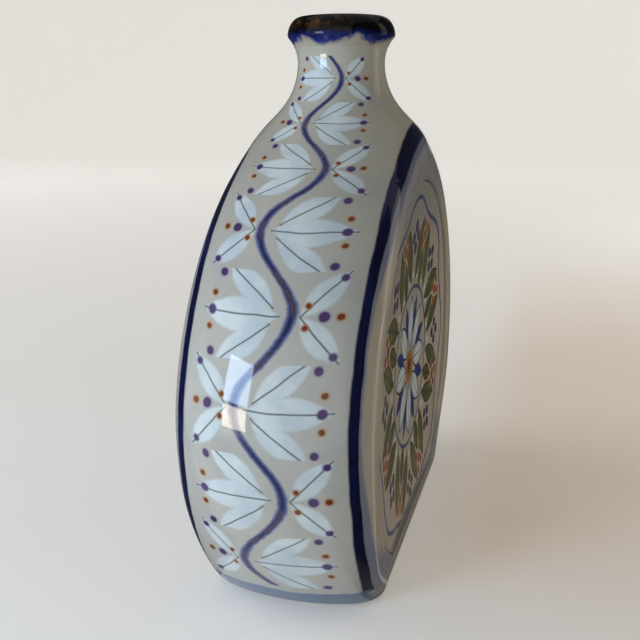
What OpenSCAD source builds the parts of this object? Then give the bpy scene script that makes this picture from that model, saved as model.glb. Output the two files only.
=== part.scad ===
// Flask vase of glazed stoneware: a round, flat-sided bottle that stands on a flat base.
// It is built as a potter builds it, from a base slab, two bent side walls, two round
// panels, a shoulder, a thrown neck and a lip. Sizes are in millimetres and +Z is up.
// The broad faces look along -Y (front) and +Y (back). The origin is under the middle of
// the base, on the table.

/* [Body] */
// Width across the middle of the two narrow bands
body_w = 234; // [224:1:246]
// Height of the centre of the round body above the table
body_centre_h = 81.5; // [76:0.5:86]
// Thickness across the two rims, at the middle and above
rim_top_t = 80; // [76:0.5:86]
// Thickness across the two rims, at the table
rim_base_t = 76; // [72:0.5:82]
// Fullness of the outline above the centre: 2 is round, and less is drawn in to the shoulder
upper_fullness = 1.75; // [1.7:0.05:2]
// Height over which the rims thicken, up from the table
rim_taper_h = 60; // [40:1:75]
// Radius of the bulge across each narrow band
band_bow_r = 65; // [56:1:80]
// How much of that bulge is left at the table
bow_at_base = 0.75; // [0.5:0.05:1]
// Radius of the broad roll from the band to the crest of each rim
rim_round = 13; // [9:0.5:16]
// Radius of the same roll at the table
rim_base_round = 20; // [14:0.5:24]
// Width of the rounding of each rim's inner edge, down to the panel
rim_inner_round = 4; // [2:0.25:5]
// Thickness of the side walls
wall_t = 6.5; // [4:0.5:8]

/* [Faces] */
// Width of each rim, from the body's outline in to the round opening of the panel
rim_w = 29; // [27:0.5:34]
// Thickness of the panels
panel_t = 6; // [4:0.5:7]
// Depth of the panel's edge below the rims, where these are thinnest
panel_recess = 0.4; // [0.2:0.1:1.5]
// Depth of the dished middle of the panel below its edge
panel_dish = 3.5; // [1.5:0.25:4]
// Gap of the seam round each panel
seam = 0.3; // [0.2:0.05:0.6]

/* [Base] */
// Height of the base slab
base_h = 9; // [7:0.5:12]
// Width of the ring that the vase stands on
foot_w = 9; // [6:0.5:14]
// Depth of the hollow inside that ring
foot_recess = 2.5; // [1:0.5:4]
// Rounding of the base slab's lower edge
base_edge = 2.5; // [1:0.25:3.5]

/* [Shoulder and neck] */
// Height of the neck, from the shoulder to the lip
neck_h = 21.5; // [18:0.5:25]
// Height of the lip's foot above the narrowest place of the neck
waist_drop = 6; // [4:0.5:9]
// Diameter of the narrowest place of the neck
neck_d = 38.8; // [36:0.2:42]
// Radius of the hollow curve from there down to the shoulder
neck_flare_r = 29.5; // [26:0.5:33]
// Radius of the hollow curve from there up to the lip
lip_flare_r = 15; // [12:0.5:20]
// Share of the shoulder's height over which its section grows round
round_by = 0.65; // [0.5:0.05:1]
// How far the shoulder swells past the rims, front and back
shoulder_swell = 1; // [0:0.25:3]
// Diameter of the mouth and of the bore down the neck
mouth_d = 26; // [20:0.5:28]

/* [Lip] */
// Height of the whole vase
total_h = 240; // [230:0.5:252]
// Height of the lip
lip_h = 13; // [11:0.5:14]
// How far the lip stands out past the narrowest place of the neck
lip_out = 4.4; // [3.4:0.1:5.4]
// Radius that rounds the widest edge of the lip
lip_bulge_r = 2.2; // [1.6:0.1:2.6]
// Radius that rounds the top of the lip, inside and outside
lip_round = 2.5; // [1.5:0.1:2.8]

/* [Hidden] */
$fn = 96;

body_r = body_w / 2;
face_r = body_r - rim_w;
mouth_r = mouth_d / 2;
neck_r = neck_d / 2;
lip_r = neck_r + lip_out;
// Heights of the lip's foot, of the neck's waist and of the neck's foot
neck_top = total_h - lip_h;
waist_h = neck_top - waist_drop;
shoulder_h = neck_top - neck_h;
// Top of the walls, just above the round openings
wall_top = body_centre_h + face_r + rim_inner_round;
// Steps along the walls, up the shoulder, round the band and round each rim
wall_steps = 26;
shoulder_steps = 12;
band_steps = 8;
rim_steps = 4;
// Places across the rim, from its crest to the edge of the opening
land_places = [0.3, 0.55, 0.75, 0.9, 1];

slate = "#6f7688";
stone = "#8d8a85";
panel_grey = "#97938a";
cobalt = "#27315c";

function lerp(a, b, t) = a + (b - a) * t;
function square_of(v) = v * v;
function bezier(p, t) =
    pow(1 - t, 3) * p[0] + 3 * pow(1 - t, 2) * t * p[1]
    + 3 * (1 - t) * t * t * p[2] + pow(t, 3) * p[3];

function smooth(t) = let (u = max(0, min(1, t))) u * u * (3 - 2 * u);

// Half the thickness across the rims at height z
function half_t(z) = lerp(rim_base_t, rim_top_t, smooth(z / rim_taper_h)) / 2;
// How far the front and the back of a panel's edge lie from the middle of the vase
panel_front_y = min(rim_top_t, rim_base_t) / 2 - panel_recess;
panel_back_y = panel_front_y - panel_t;

// Half length at height z of a round opening of radius r
function round_chord(r, z) = sqrt(max(0, r * r - square_of(z - body_centre_h)));
// Half length at height z of the body's outline, or of one inside it, of half width r
function chord(r, z) =
    let (u = abs(z - body_centre_h) / r, n = z > body_centre_h ? upper_fullness : 2)
    r * pow(max(0, 1 - pow(u, n)), 1 / n);
// Below the centre the bulge across the band grows flatter towards the table
function bow(z) = z > body_centre_h ? 1
    : lerp(1, bow_at_base, square_of((body_centre_h - z) / body_centre_h));
// Half length at height z of a surface that lies inset inside a round outline of radius r
function inset_chord(r, inset, z) = z > body_centre_h
    ? chord(r - inset, z)
    : chord(r, z) - inset * bow(z);

// One quarter of the band's outside at height z: [inset, y] from the middle to the rim's crest
function outer_curve(z) =
    let (
        t = half_t(z),
        r = lerp(rim_base_round, rim_round, smooth(z / rim_taper_h)),
        turn = asin((t - r) / (band_bow_r - r)),
        centre_in = band_bow_r - (band_bow_r - r) * cos(turn)
    )
    concat(
        [for (i = [0:band_steps - 1])
            let (a = turn * i / band_steps)
            [band_bow_r * (1 - cos(a)), band_bow_r * sin(a)]],
        [for (i = [0:rim_steps])
            let (a = lerp(turn, 90, i / rim_steps))
            [centre_in - r * cos(a), t - r * (1 - sin(a))]]
    );
// The same quarter of the band's inside
function inner_curve(z) =
    let (
        bow_r = band_bow_r - wall_t,
        t = panel_back_y,
        turn = asin(t / bow_r),
        end_in = bow_r * (1 - cos(turn))
    )
    concat(
        [for (i = [0:band_steps - 1])
            let (a = turn * i / (band_steps - 1))
            [bow_r * (1 - cos(a)), bow_r * sin(a)]],
        [for (i = [0:rim_steps]) [end_in + i + 1, t]]
    );
// How far the rim's inner edge is rounded down at a place x of height z
function roll_down(x, z) =
    let (into = max(0, face_r + rim_inner_round - norm([x, z - body_centre_h])) / rim_inner_round)
    (half_t(z) - panel_front_y) * (1 - sqrt(max(0, 1 - square_of(into))));
// A quarter of the wall's section at height z, as points [x, y], out to the opening's edge
function quarter(curve, r, z, rolled) =
    let (
        pts = [for (p = curve) [inset_chord(r, p[0], z), p[1]]],
        last = pts[len(pts) - 1],
        open_x = min(last[0], round_chord(face_r, z))
    )
    concat(pts, [for (s = land_places)
        let (x = lerp(last[0], open_x, s))
        [x, last[1] - (rolled ? roll_down(x, z) : 0)]]);
// Half a section: the quarter at +Y, from the opening's edge to the middle, then the one at -Y
function half_section(q) = concat(
    [for (i = [len(q) - 1:-1:1]) q[i]],
    [for (p = q) [p[0], -p[1]]]
);
function outer_half(z, rolled = true) =
    half_section(quarter(outer_curve(z), body_r, z, rolled));
function inner_half(z) = half_section(quarter(inner_curve(z), body_r - wall_t, z, false));
// A whole section: the half at -X, then the half at +X, as one closed loop
function whole(half) = concat(
    [for (p = half) [-p[0], p[1]]],
    [for (i = [len(half) - 1:-1:0]) half[i]]
);
// Points of a flat loop raised to height z
function raised(loop, z) = [for (p = loop) [p[0], p[1], z]];
function flat(lists) = [for (l = lists) each l];

// Middle of a row of points
function middle(row) = [for (k = [0:2]) [for (p = row) 1] * [for (p = row) p[k]] / len(row)];
// Solid between rows of points, all of one length. A tube closes on its last row, and a
// stack is closed with a fan of triangles over each end.
module loft(rows, tube = false) {
    n = len(rows[0]);
    m = len(rows);
    sides = [
        for (j = [0:(tube ? m - 1 : m - 2)])
            for (i = [0:n - 1])
                let (
                    a = j * n + i, b = j * n + (i + 1) % n,
                    c = ((j + 1) % m) * n + (i + 1) % n, d = ((j + 1) % m) * n + i
                )
                each [[a, c, b], [a, d, c]]
    ];
    ends = tube ? [] : [
        for (i = [0:n - 1])
            let (low = (m - 1) * n, next = (i + 1) % n)
            each [[m * n, i, next], [m * n + 1, low + next, low + i]]
    ];
    caps = tube ? [] : [middle(rows[0]), middle(rows[m - 1])];
    polyhedron(concat(flat(rows), caps), concat(sides, ends), convexity = 6);
}
// Bent wall between two surfaces of one grid, open along its edges
module shell(outside, inside) {
    n = len(outside[0]);
    m = len(outside);
    k = n * m;
    skin = [
        for (j = [0:m - 2])
            for (i = [0:n - 2])
                let (a = j * n + i, b = a + 1, c = a + n + 1, d = a + n)
                each [
                    [a, c, b], [a, d, c],
                    [k + a, k + b, k + c], [k + a, k + c, k + d]
                ]
    ];
    edges = [
        for (j = [0:m - 2])
            let (a = j * n, d = a + n, e = a + n - 1, f = e + n)
            each [
                [a, k + a, k + d], [a, k + d, d],
                [e, k + f, k + e], [e, f, k + f]
            ]
    ];
    ends = [
        for (i = [0:n - 2])
            let (a = i, b = i + 1, c = k - n + i, d = c + 1)
            each [
                [a, b, k + b], [a, k + b, k + a],
                [c, k + d, d], [c, k + c, k + d]
            ]
    ];
    polyhedron(concat(flat(outside), flat(inside)), concat(skin, edges, ends), convexity = 8);
}

// Heights of the wall's rows: evenly spaced round the opening, then up over its rounded edge
wall_rows = concat(
    [for (i = [0:wall_steps])
        let (low = asin((base_h - body_centre_h) / face_r))
        i == 0 ? base_h : body_centre_h + face_r * sin(lerp(low, 90, i / wall_steps))],
    [for (s = [0.3, 0.65]) body_centre_h + face_r + rim_inner_round * s],
    [wall_top]
);
module side_wall() {
    shell(
        [for (z = wall_rows) raised([for (p = outer_half(z)) [-p[0], p[1]]], z)],
        [for (z = wall_rows) raised([for (p = inner_half(z)) [-p[0], p[1]]], z)]
    );
}

// Base slab: its edge follows the walls down to the table, and it is hollowed underneath
function foot_loop(d) = [
    for (p = whole(outer_half(0, false)))
        [p[0] * (1 - d / chord(body_r, 0)), p[1] * (1 - d / half_t(0))]
];
module base_slab() {
    edge_rows = [
        for (i = [0:4])
            let (a = 90 * i / 4)
            raised(foot_loop(base_edge * (1 - cos(a))), base_edge * (1 - sin(a)))
    ];
    color(slate)
    loft(concat(
        [for (z = [base_h, lerp(base_h, base_edge, 0.5)]) raised(whole(outer_half(z, false)), z)],
        edge_rows,
        [raised(foot_loop(foot_w), 0), raised(foot_loop(foot_w + foot_recess / 2), foot_recess)]
    ));
}
module left_side_wall() {
    color(stone) side_wall();
}
module right_side_wall() {
    color(stone) mirror([1, 0, 0]) side_wall();
}

// Panel: a shallow dish with parallel faces, cut straight where it stands on the base slab
module panel() {
    edge_r = face_r - seam;
    dish_r = (square_of(edge_r) + square_of(panel_dish)) / (2 * panel_dish);
    intersection() {
        translate([0, -panel_front_y, body_centre_h])
        rotate([90, 0, 0])
        rotate_extrude($fn = 180)
        intersection() {
            translate([0, -panel_t - 2 * panel_dish])
                square([edge_r, panel_t + 3 * panel_dish]);
            translate([0, dish_r - panel_dish])
            difference() {
                circle(dish_r + panel_t, $fn = 720);
                circle(dish_r, $fn = 720);
            }
        }
        translate([-body_r, -2 * body_r, base_h])
            cube([body_w, 2 * body_w, 2 * body_r]);
    }
}
module front_panel() {
    color(panel_grey) panel();
}
module back_panel() {
    color(panel_grey) mirror([0, 1, 0]) panel();
}

// Shoulder: the oval top of the body drawn in to the round neck. Each curve gives half the
// length or half the thickness against height, from the wall's top to the neck's joint.
neck_centre_r = neck_r + neck_flare_r;
function neck_outer_r(z) =
    neck_centre_r - sqrt(square_of(neck_flare_r) - square_of(z - waist_h));
joint_r = neck_outer_r(shoulder_h);
joint_slope = (waist_h - shoulder_h) / (neck_centre_r - joint_r);
rise = shoulder_h - wall_top;
wall_slope = chord(body_r, wall_top - 0.5) - chord(body_r, wall_top + 0.5);
outer_x = [chord(body_r, wall_top), chord(body_r, wall_top) - 0.31 * rise * wall_slope,
    joint_r + 0.31 * rise * joint_slope, joint_r];
outer_y = [half_t(wall_top), half_t(wall_top) + shoulder_swell,
    joint_r + 0.36 * rise * joint_slope, joint_r];
height_x = [wall_top, wall_top + 0.31 * rise, shoulder_h - 0.31 * rise, shoulder_h];
height_y = [wall_top, wall_top + 0.64 * rise, shoulder_h - 0.36 * rise, shoulder_h];
inner_len = chord(body_r - wall_t, wall_top);
inner_x = [inner_len, inner_len - 0.24 * rise * wall_slope, mouth_r + 0.06 * rise, mouth_r];
inner_y = [panel_back_y, panel_back_y, mouth_r + 0.06 * rise, mouth_r];

// Place on a curve, from 0 to 1, where its height is z
function place(zs, z, lo = 0, hi = 1, n = 24) =
    let (mid = (lo + hi) / 2)
    n == 0 ? mid
    : bezier(zs, mid) < z ? place(zs, z, mid, hi, n - 1)
    : place(zs, z, lo, mid, n - 1);
// A loop at height z: the wall's own section below, growing round towards the neck
function shoulder_loop(section, xs, zs_x, ys, zs_y, z) =
    let (
        w = smooth((z - wall_top) / rise / round_by),
        half_x = bezier(xs, place(zs_x, z)),
        half_y = bezier(ys, place(zs_y, z))
    )
    [for (p = section)
        let (u = p[0] / xs[0], v = p[1] / ys[0], s = max(norm([u, v]), 0.001))
        [half_x * lerp(u, u / s, w), half_y * lerp(v, v / s, w)]];
module shoulder() {
    outside = whole(outer_half(wall_top));
    inside = whole(inner_half(wall_top));
    heights = [for (i = [0:shoulder_steps]) lerp(wall_top, shoulder_h, i / shoulder_steps)];
    color(stone)
    loft(concat(
        [for (z = heights) raised(shoulder_loop(outside, outer_x, height_x, outer_y, height_y, z), z)],
        [for (i = [shoulder_steps:-1:0])
            let (z = heights[i])
            raised(shoulder_loop(inside, inner_x, height_x, inner_y, height_y, z), z)]
    ), tube = true);
}

// What lies outside the hollow curve from the neck up to the lip
module lip_flare() {
    translate([neck_r + lip_flare_r, waist_h]) circle(lip_flare_r, $fn = 360);
}
// Neck: a short thrown tube with a hollow curve down its outside, tighter above its waist
module neck() {
    color(stone)
    rotate_extrude()
    difference() {
        translate([mouth_r, shoulder_h])
            square([neck_centre_r - mouth_r, neck_top - shoulder_h]);
        intersection() {
            translate([neck_centre_r, waist_h]) circle(neck_flare_r, $fn = 360);
            translate([mouth_r, shoulder_h]) square([neck_centre_r, waist_h - shoulder_h]);
        }
        lip_flare();
        translate([neck_r + lip_flare_r, waist_h]) square([neck_flare_r, lip_flare_r]);
    }
}

// Lip: a thick ring that flares out of the neck to a rounded edge and leans in to its top
module lip_ring() {
    bulge_x = lip_r - lip_bulge_r;
    reach = neck_r + lip_flare_r - bulge_x;
    bulge = [bulge_x, waist_h + sqrt(square_of(lip_flare_r + lip_bulge_r) - square_of(reach))];
    crown = [neck_r - lip_round + 0.6, total_h - lip_round];
    gap = crown - bulge;
    lean = atan2(gap[1], gap[0]) - 90 + asin((lip_bulge_r - lip_round) / norm(gap));
    out = [cos(lean), sin(lean)];
    color(cobalt)
    rotate_extrude()
    intersection() {
        translate([mouth_r, neck_top]) square([lip_r, lip_h]);
        union() {
            translate(bulge) circle(lip_bulge_r);
            translate(crown) circle(lip_round);
            translate([mouth_r + lip_round, crown[1]]) circle(lip_round);
            difference() {
                polygon([
                    [mouth_r, neck_top], [bulge[0], neck_top], bulge,
                    bulge + lip_bulge_r * out, crown + lip_round * out,
                    [crown[0], total_h], [mouth_r + lip_round, total_h], [mouth_r, crown[1]]
                ]);
                lip_flare();
            }
        }
    }
}

base_slab();
left_side_wall();
right_side_wall();
front_panel();
back_panel();
shoulder();
neck();
lip_ring();
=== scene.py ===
# %% [markdown]
# # A flask vase of glazed stoneware
# A flask vase is a round bottle with two flat faces. A potter bends two strips of clay into
# the narrow bands, sets a round panel into each face, and joins a base, a shoulder, a thrown
# neck and a lip to them. After a first firing it is painted and covered with a clear glaze.
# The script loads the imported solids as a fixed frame, models the glazed skin of each piece
# over its solid, paints it with procedural materials, and lights it like a studio photograph.

# %% Load the frame
from math import asin, atan2, cos, hypot, pi, radians, sin, sqrt

import bpy
from mathutils import Matrix, Vector


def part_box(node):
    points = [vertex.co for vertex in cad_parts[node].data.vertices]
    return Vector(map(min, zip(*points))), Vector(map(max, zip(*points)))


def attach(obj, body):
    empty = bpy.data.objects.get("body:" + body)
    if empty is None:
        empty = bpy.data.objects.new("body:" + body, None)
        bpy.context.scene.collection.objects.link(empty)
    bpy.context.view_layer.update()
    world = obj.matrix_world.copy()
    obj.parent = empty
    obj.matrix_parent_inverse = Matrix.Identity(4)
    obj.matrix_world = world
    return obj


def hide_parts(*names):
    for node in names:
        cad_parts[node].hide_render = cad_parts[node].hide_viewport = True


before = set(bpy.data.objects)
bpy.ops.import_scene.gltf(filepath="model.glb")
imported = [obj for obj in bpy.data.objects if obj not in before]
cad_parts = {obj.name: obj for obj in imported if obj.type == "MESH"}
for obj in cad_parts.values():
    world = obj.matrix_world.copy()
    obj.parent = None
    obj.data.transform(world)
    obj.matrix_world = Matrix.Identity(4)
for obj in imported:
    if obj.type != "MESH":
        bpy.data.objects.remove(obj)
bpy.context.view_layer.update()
MM = 0.001
print("solids:", ", ".join(sorted(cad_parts)))

# %% [markdown]
# ## The sizes of the vase
# The solids already have the right sizes, but some of their curved walls are made of flat
# facets. A glossy glaze would mirror every facet. So each piece is modelled again on a much
# finer grid, from the same sizes. In two places its form is changed a little: the lip rolls over
# more fully, and the shoulder leaves the walls without a crease. All sizes are in millimetres,
# and +Z is up. The broad faces look along -Y and +Y.

# %% Sizes, in millimetres
# Body: half its width, the height of its centre, and its fullness above that, where 2 is round
BODY_R, CENTRE_H, UPPER_FULLNESS = 117.0, 81.5, 1.75
# Thickness across the rims, above and at the table, and the height over which it changes
RIM_TOP_T, RIM_BASE_T, RIM_TAPER_H = 80.0, 76.0, 60.0
# Radius of the bulge across the band, and the share of it that is left at the table
BAND_BOW_R, BOW_AT_BASE = 65.0, 0.75
# Radius of the rim's roll, above and at the table, and the width of its rounded inner edge
RIM_ROUND, RIM_BASE_ROUND, RIM_INNER_ROUND = 13.0, 20.0, 4.0
WALL_T = 6.5
# Panels: radius of the opening, thickness, depth behind the rim, depth of the dish, and seam
FACE_R, PANEL_T, PANEL_RECESS, PANEL_DISH, SEAM = 88.0, 6.0, 0.4, 3.5, 0.3
# Base: height, width of the ring that it stands on, hollow inside that ring, and rounded edge
BASE_H, FOOT_W, FOOT_RECESS, BASE_EDGE = 9.0, 9.0, 2.5, 2.5
# Neck: heights of its foot and its waist, and radii of the waist and of the curve below it
SHOULDER_H, WAIST_H, NECK_R, NECK_FLARE_R = 205.5, 221.0, 19.4, 29.5
# Shoulder: the share of its height over which it grows round, and its swell. Radius of the bore
ROUND_BY, SHOULDER_SWELL, MOUTH_R = 0.65, 1.0, 13.0
# Height of the vase, and the lip: height, radius, and radii of its flare, widest edge and mouth
TOTAL_H, LIP_H, LIP_R = 240.0, 13.0, 23.8
LIP_FLARE_R, LIP_BULGE_R, LIP_ROUND = 15.0, 2.2, 2.5
WALL_TOP = CENTRE_H + FACE_R + RIM_INNER_ROUND
NECK_TOP = TOTAL_H - LIP_H
PANEL_FRONT = RIM_BASE_T / 2 - PANEL_RECESS
PANEL_BACK = PANEL_FRONT - PANEL_T
top_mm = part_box("lip_ring")[1][2] / MM
print(f"the lip's solid ends at {top_mm:.1f} mm, and the sizes here say {TOTAL_H} mm")


# %% [markdown]
# ## The outline and the section of the body
# Seen from the front, the body is a circle below its centre and a slightly pointed curve
# above it. Seen from above, the band bulges between two rolled rims, and each rim drops back
# to the panel over a small rounded edge. Two kinds of function give these: how far out the
# surface lies at a height, and the section across the band at that height.

# %% Outline
def lerp(a, b, t):
    return a + (b - a) * t


def smooth(t):
    t = max(0.0, min(1.0, t))
    return t * t * (3 - 2 * t)


def half_thickness(z):
    return lerp(RIM_BASE_T, RIM_TOP_T, smooth(z / RIM_TAPER_H)) / 2


def chord(r, z):
    """Half length at height z of the body's outline, or of one inside it, of half width r."""
    n = UPPER_FULLNESS if z > CENTRE_H else 2.0
    return r * max(0.0, 1 - (abs(z - CENTRE_H) / r) ** n) ** (1 / n)


def opening_chord(z):
    return sqrt(max(0.0, FACE_R ** 2 - (z - CENTRE_H) ** 2))


def inset_chord(r, inset, z):
    """The same for a surface that lies inset from the outline."""
    if z > CENTRE_H:
        return chord(r - inset, z)
    bow = lerp(1, BOW_AT_BASE, ((CENTRE_H - z) / CENTRE_H) ** 2)
    return chord(r, z) - inset * bow


def roll_down(x, z):
    """How far the rim's inner edge is rounded down at a place x of height z."""
    into = max(0.0, FACE_R + RIM_INNER_ROUND - hypot(x, z - CENTRE_H)) / RIM_INNER_ROUND
    return (half_thickness(z) - PANEL_FRONT) * (1 - sqrt(max(0.0, 1 - into ** 2)))


print(f"widest half: {chord(BODY_R, CENTRE_H):.1f} mm")

# %% Section
# Last columns of the grid in one quarter of the band: of its bulge, its roll and the rim's land
BULGE, ROLL, QUARTER = 16, 28, 40


def outside(k, z, rolled=True):
    """Point [x, y] of column k, counted from the band's middle to the opening's edge."""
    t = half_thickness(z)
    r = lerp(RIM_BASE_ROUND, RIM_ROUND, smooth(z / RIM_TAPER_H))
    turn = asin((t - r) / (BAND_BOW_R - r))
    side = -1 if k < 0 else 1
    k = abs(k)
    if k <= BULGE:
        a = turn * k / BULGE
        return inset_chord(BODY_R, BAND_BOW_R * (1 - cos(a)), z), side * BAND_BOW_R * sin(a)
    middle = BAND_BOW_R - (BAND_BOW_R - r) * cos(turn)
    a = lerp(turn, pi / 2, min(1.0, (k - BULGE) / (ROLL - BULGE)))
    x = inset_chord(BODY_R, middle - r * cos(a), z)
    y = t - r * (1 - sin(a))
    if k > ROLL:
        edge = min(x, opening_chord(z))
        x = lerp(x, edge, sin(pi / 2 * (k - ROLL) / (QUARTER - ROLL)))
        y -= roll_down(x, z) if rolled else 0
    return x, side * y


def inside(k, z):
    """The same for the inside of the wall, which ends behind the panel."""
    bow_r = BAND_BOW_R - WALL_T
    turn = asin(PANEL_BACK / bow_r)
    side = -1 if k < 0 else 1
    k = abs(k)
    a = turn * min(1.0, k / ROLL)
    x = inset_chord(BODY_R - WALL_T, bow_r * (1 - cos(a)), z)
    if k > ROLL:
        x = lerp(x, min(x, opening_chord(z)), (k - ROLL) / (QUARTER - ROLL))
    return x, side * bow_r * sin(a)


print(f"crest of the rim: y = {outside(ROLL, WALL_TOP)[1]:.1f} mm")


# %% [markdown]
# ## A grid that is pushed into shape
# Every piece starts as one flat grid, like a sheet of clay. Its points are pushed to their
# places on the piece, rows that meet are merged, open ends are filled and the normals are
# turned outwards. Smooth shading with an angle limit keeps the arrises crisp.

# %% Helpers: push a grid, and close it to a piece
MERGE_M, SHARP = 1e-6, radians(35)


def push_grid(name, around, along, place):
    """A grid whose point (i, j) is pushed to place(i, j), in millimetres."""
    bpy.ops.object.select_all(action="DESELECT")
    bpy.ops.mesh.primitive_grid_add(x_subdivisions=around, y_subdivisions=along, size=1)
    piece = bpy.context.object
    piece.name = piece.data.name = name
    for v in piece.data.vertices:
        v.co = MM * Vector(place(round((v.co.x + 0.5) * around), round((v.co.y + 0.5) * along)))
    return piece


def lay_grid(name, around, along, place):
    """A closed piece, made from such a grid."""
    piece = push_grid(name, around, along, place)
    bpy.ops.object.mode_set(mode="EDIT")
    bpy.ops.mesh.select_all(action="SELECT")
    bpy.ops.mesh.remove_doubles(threshold=MERGE_M)
    bpy.ops.mesh.select_all(action="SELECT")
    bpy.ops.mesh.fill_holes(sides=0)
    bpy.ops.mesh.select_all(action="SELECT")
    bpy.ops.mesh.normals_make_consistent(inside=False)
    bpy.ops.object.mode_set(mode="OBJECT")
    bpy.ops.object.shade_smooth_by_angle(angle=SHARP)
    print(f"{name}: {len(piece.data.polygons)} faces")
    return piece


# %% [markdown]
# ## Side walls
# Each wall is its section swept up from the base slab to just above the round opening. The
# section is one closed loop: over the outside from rim to rim, then back along the inside.
# The rows lie closer together near the top, where the rim's edge curls over the opening.

# %% Make the two side walls
WALL_ROWS = 150
WALL_LOOP = 2 * (2 * QUARTER + 1)
low_angle = asin((BASE_H - CENTRE_H) / (WALL_TOP - CENTRE_H))


def wall_height(j):
    if j == 0:
        return BASE_H
    return CENTRE_H + (WALL_TOP - CENTRE_H) * sin(lerp(low_angle, pi / 2, j / WALL_ROWS))


def wall_point(side):
    def place(i, j):
        z = wall_height(j)
        i %= WALL_LOOP
        if i <= 2 * QUARTER:
            x, y = outside(i - QUARTER, z)
        else:
            x, y = inside(3 * QUARTER + 1 - i, z)
        return side * x, y, z
    return place


left_wall = lay_grid("left_wall_skin", WALL_LOOP, WALL_ROWS, wall_point(-1))
right_wall = lay_grid("right_wall_skin", WALL_LOOP, WALL_ROWS, wall_point(1))


# %% [markdown]
# ## Base slab
# The base follows the walls down to the table. Its lower edge is rounded, and underneath it is
# hollowed a little, so that the vase stands on a ring. Here the rows of the grid run from the
# middle of the top, out over the edge, and back to the middle underneath.

# %% Make the base slab
LOOP = 4 * QUARTER
SLAB_LEVELS = (BASE_H, 7, 5, 3.5)
EDGE_STEPS = 6


def loop_point(i, section, z):
    """Point i of a whole loop round the vase, from the front to the right, back and left."""
    i %= LOOP
    if i <= 2 * QUARTER:
        return section(i - QUARTER, z)
    x, y = section(3 * QUARTER - i, z)
    return -x, y


def flat_edge(k, z):
    return outside(k, z, rolled=False)


def foot_row(d, z):
    """A row that lies d inside the outline at the table."""
    def row(i):
        x, y = loop_point(i, flat_edge, 0)
        return x * (1 - d / chord(BODY_R, 0)), y * (1 - d / half_thickness(0)), z
    return row


def slab_row(z):
    return lambda i: (*loop_point(i, flat_edge, z), z)


slab_rows = [lambda i: (0, 0, BASE_H)] + [slab_row(z) for z in SLAB_LEVELS]
for n in range(EDGE_STEPS + 1):
    a = pi / 2 * n / EDGE_STEPS
    slab_rows.append(foot_row(BASE_EDGE * (1 - cos(a)), BASE_EDGE * (1 - sin(a))))
slab_rows += [foot_row(FOOT_W, 0), foot_row(FOOT_W + FOOT_RECESS / 2, FOOT_RECESS)]
slab_rows.append(lambda i: (0, 0, FOOT_RECESS))
base = lay_grid("base_skin", LOOP, len(slab_rows) - 1, lambda i, j: slab_rows[j](i))


# %% [markdown]
# ## Shoulder
# The shoulder is the hardest form on this vase. It starts with the flat-sided section of the
# walls and ends with the round section of the neck, and it has to leave the one and reach the
# other without a crease. Two curves give its length and its thickness against height, and the
# section grows round between them. Each column of the grid starts with the slope of the wall
# below it and eases into that form.

# %% Curves of the shoulder
# Handles of the curves, as shares of the rise: for the length, for the thickness at the foot and
# at the neck, and for the inside at the foot and at the bore
HOLD_LENGTH, HOLD_FOOT, HOLD_NECK, HOLD_INSIDE, HOLD_BORE = 0.31, 0.64, 0.36, 0.24, 0.06
HALVINGS = 30
# Step in millimetres over which a slope is measured
PROBE = 0.5


def bezier(p, t):
    s = 1 - t
    return s ** 3 * p[0] + 3 * s * s * t * p[1] + 3 * s * t * t * p[2] + t ** 3 * p[3]


def on_curve(heights, values, z):
    """The value at height z, found by halving the range of the curve's parameter."""
    lo, hi = 0.0, 1.0
    for _ in range(HALVINGS):
        mid = (lo + hi) / 2
        lo, hi = (mid, hi) if bezier(heights, mid) < z else (lo, mid)
    return bezier(values, lo)


neck_centre_r = NECK_R + NECK_FLARE_R
joint_r = neck_centre_r - sqrt(NECK_FLARE_R ** 2 - (SHOULDER_H - WAIST_H) ** 2)
joint_slope = (WAIST_H - SHOULDER_H) / (neck_centre_r - joint_r)
rise = SHOULDER_H - WALL_TOP
wall_slope = (chord(BODY_R, WALL_TOP - PROBE) - chord(BODY_R, WALL_TOP + PROBE)) / (2 * PROBE)
length_out = chord(BODY_R, WALL_TOP)
length_in = chord(BODY_R - WALL_T, WALL_TOP)
thick_out = half_thickness(WALL_TOP)
heights_x = (WALL_TOP, WALL_TOP + HOLD_LENGTH * rise, SHOULDER_H - HOLD_LENGTH * rise, SHOULDER_H)
heights_y = (WALL_TOP, WALL_TOP + HOLD_FOOT * rise, SHOULDER_H - HOLD_NECK * rise, SHOULDER_H)
outer_x = (length_out, length_out - HOLD_LENGTH * rise * wall_slope,
           joint_r + HOLD_LENGTH * rise * joint_slope, joint_r)
outer_y = (thick_out, thick_out + SHOULDER_SWELL,
           joint_r + HOLD_NECK * rise * joint_slope, joint_r)
inner_x = (length_in, length_in - HOLD_INSIDE * rise * wall_slope,
           MOUTH_R + HOLD_BORE * rise, MOUTH_R)
inner_y = (PANEL_BACK, PANEL_BACK, MOUTH_R + HOLD_BORE * rise, MOUTH_R)
print(f"the shoulder rises {rise:.1f} mm and narrows from {length_out:.1f} to {joint_r:.1f} mm")

# %% Make the shoulder
SHOULDER_ROWS = 30
EASE_IN = 0.5 * rise


def shoulder_row(section, xs, ys, z):
    half_x = on_curve(heights_x, xs, z)
    half_y = on_curve(heights_y, ys, z)
    grown = smooth((z - WALL_TOP) / rise / ROUND_BY)
    t = min(1.0, (z - WALL_TOP) / EASE_IN)
    reach = EASE_IN * t * (1 - t) ** 2 if section is outside else 0

    def row(i):
        x, y = loop_point(i, section, WALL_TOP)
        u, v = x / xs[0], y / ys[0]
        s = hypot(u, v)
        lean_in = (x - loop_point(i, section, WALL_TOP - PROBE)[0]) / PROBE + u * wall_slope
        return half_x * lerp(u, u / s, grown) + lean_in * reach, half_y * lerp(v, v / s, grown), z
    return row


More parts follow.
